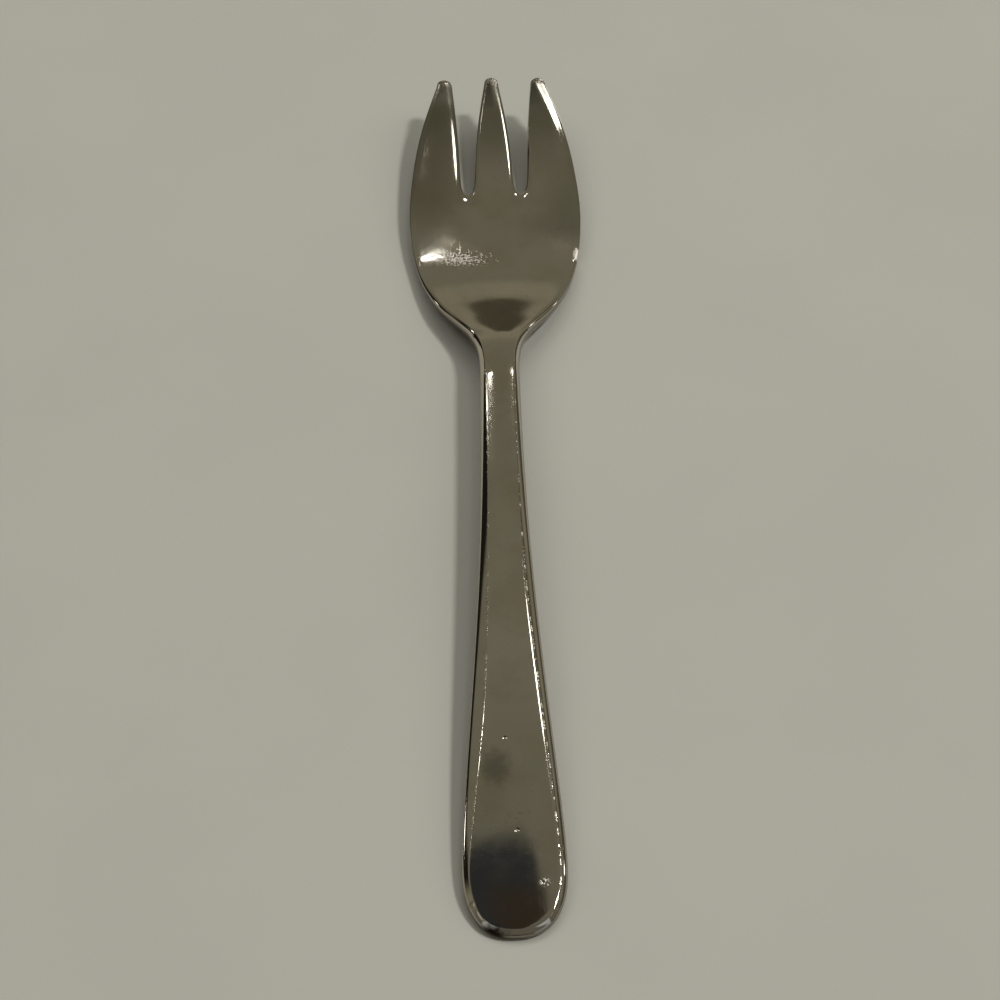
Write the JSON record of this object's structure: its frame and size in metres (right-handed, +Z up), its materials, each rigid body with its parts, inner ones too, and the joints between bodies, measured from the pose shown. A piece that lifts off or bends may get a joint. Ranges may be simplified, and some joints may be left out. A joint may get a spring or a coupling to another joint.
{
  "type": "child fork",
  "caption": "Small table fork with broad tapered tines, a shallow bowl, a slim neck and a widening handle with bevelled edges, pressed from one piece of plated metal.",
  "frame": {"origin": "midway between the tine tips and the handle end, on the centre plane, on the surface that the fork lies on", "axes": "+Y along the fork towards the tine tips, +X across it to the right with the face up, +Z up out of the face"},
  "size_m": [0.0242, 0.1399, 0.0063],
  "materials": {
    "worn_plating": "polished"
  },
  "bodies": {
    "root": {"fork_body": "worn_plating"}
  },
  "joints": []
}
